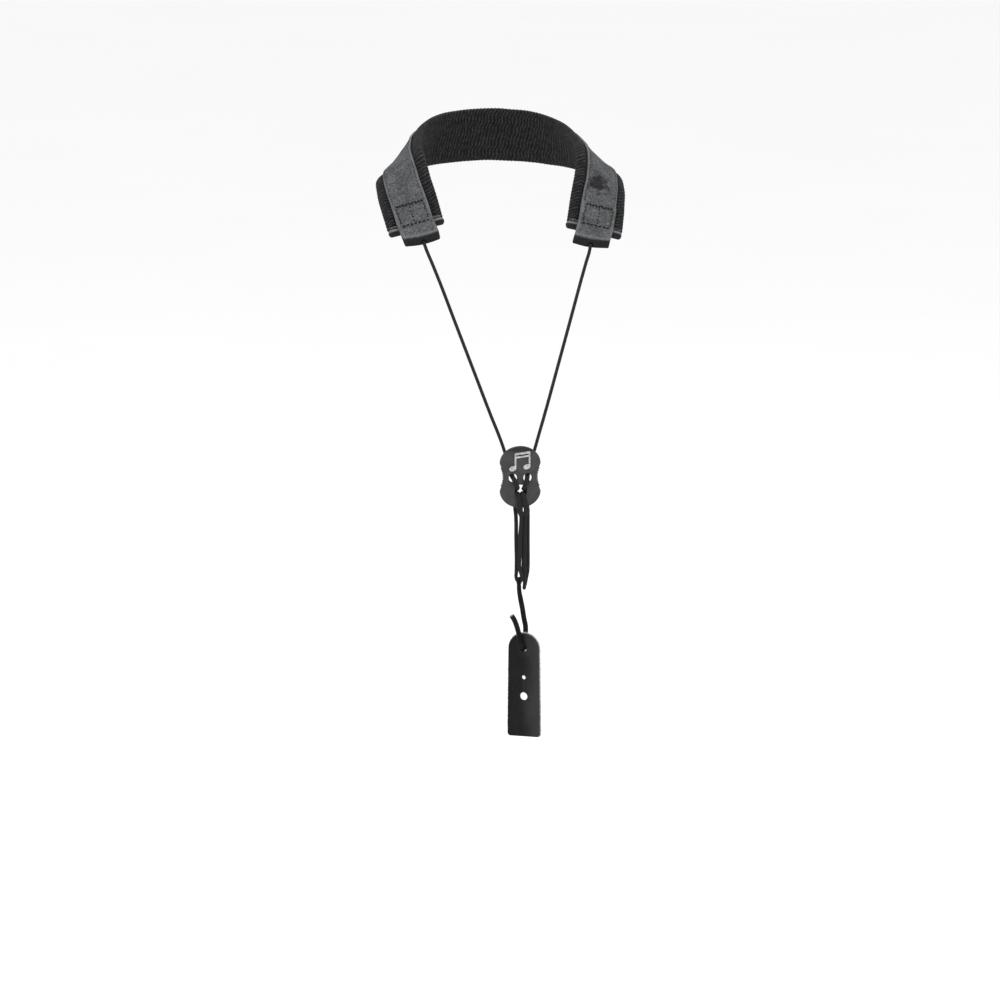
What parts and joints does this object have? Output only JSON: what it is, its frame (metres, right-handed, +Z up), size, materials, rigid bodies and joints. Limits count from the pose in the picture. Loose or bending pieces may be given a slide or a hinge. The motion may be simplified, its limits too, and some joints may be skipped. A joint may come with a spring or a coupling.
{
  "type": "padded neck strap",
  "caption": "Padded collar with grey webbing, a cord led through a sliding plastic adjuster, and a leather tab with a buttonhole that takes an instrument's thumb rest.",
  "frame": {"origin": "the middle of the pad's inner face at the back of the neck, which is the neck_rest mount", "axes": "+Z up as the strap hangs, -Y the way the wearer faces, +X to the right of someone who looks at the wearer"},
  "size_m": [0.1784, 0.1923, 0.4276],
  "materials": {
    "knit": "ribbed knit tube, black to dark grey",
    "foam": "soft foam core, hidden",
    "webbing": "fine twill webbing, light grey, worn",
    "cord": "round braided cord, black",
    "eyelet": "black, half gloss",
    "plate": "moulded, fine matte texture",
    "emblem": "bright raised mark",
    "lace": "round black leather cord",
    "leather": "smooth black leather, lightly grained",
    "suede": "light grey suede lining"
  },
  "bodies": {
    "collar": {"neck_pad_core": "foam", "neck_pad_cover": "knit", "pad_end_hem_left": "knit", "pad_end_hem_right": "knit", "webbing_main": "webbing", "webbing_fold_left": "webbing", "webbing_fold_right": "webbing", "end_loop_left": "webbing", "end_loop_right": "webbing", "cord_eyelet_left": "eyelet", "cord_eyelet_right": "eyelet", "cord_stop_left": "cord", "cord_stop_right": "cord", "cord_left": "cord", "cord_right": "cord"},
    "slider": {"slider_plate": "plate", "slider_emblem": "emblem", "cord_weave_left": "cord", "cord_weave_right": "cord", "cord_hitch": "cord", "strand_left_back": "cord", "strand_left_front": "cord", "strand_right_front": "cord", "strand_right_back": "cord"},
    "hanger": {"cord_bight_left": "cord", "cord_bight_right": "cord"},
    "lace": {"tab_lace": "lace"},
    "tab": {"tab_leather": "leather", "tab_lining": "suede"}
  },
  "joints": [
    {"name": "slider_adjust", "type": "slide", "parent": "collar", "child": "slider", "axis": [0, 0, 1], "range_m": [-0.05, 0.09], "deforming": ["cord_left", "cord_right"]},
    {"name": "bight_slide", "type": "slide", "parent": "slider", "child": "hanger", "axis": [0, 0, 1], "range_m": [-0.045, 0.025], "deforming": ["strand_left_back", "strand_left_front", "strand_right_front", "strand_right_back"]},
    {"name": "lace_swing", "type": "hinge", "parent": "hanger", "child": "lace", "pos_m": [-0.0007, -0.175, -0.2954], "axis": [0.8575, -0.5145, 0], "range_deg": [-20, 20]},
    {"name": "tab_pivot", "type": "hinge", "parent": "lace", "child": "tab", "pos_m": [0.0026, -0.1753, -0.3434], "axis": [0.4384, 0.8988, 0], "range_deg": [-20, 20]}
  ],
  "couplings": [
    {"joint": "bight_slide", "follows": "slider_adjust", "ratio": -0.5}
  ]
}
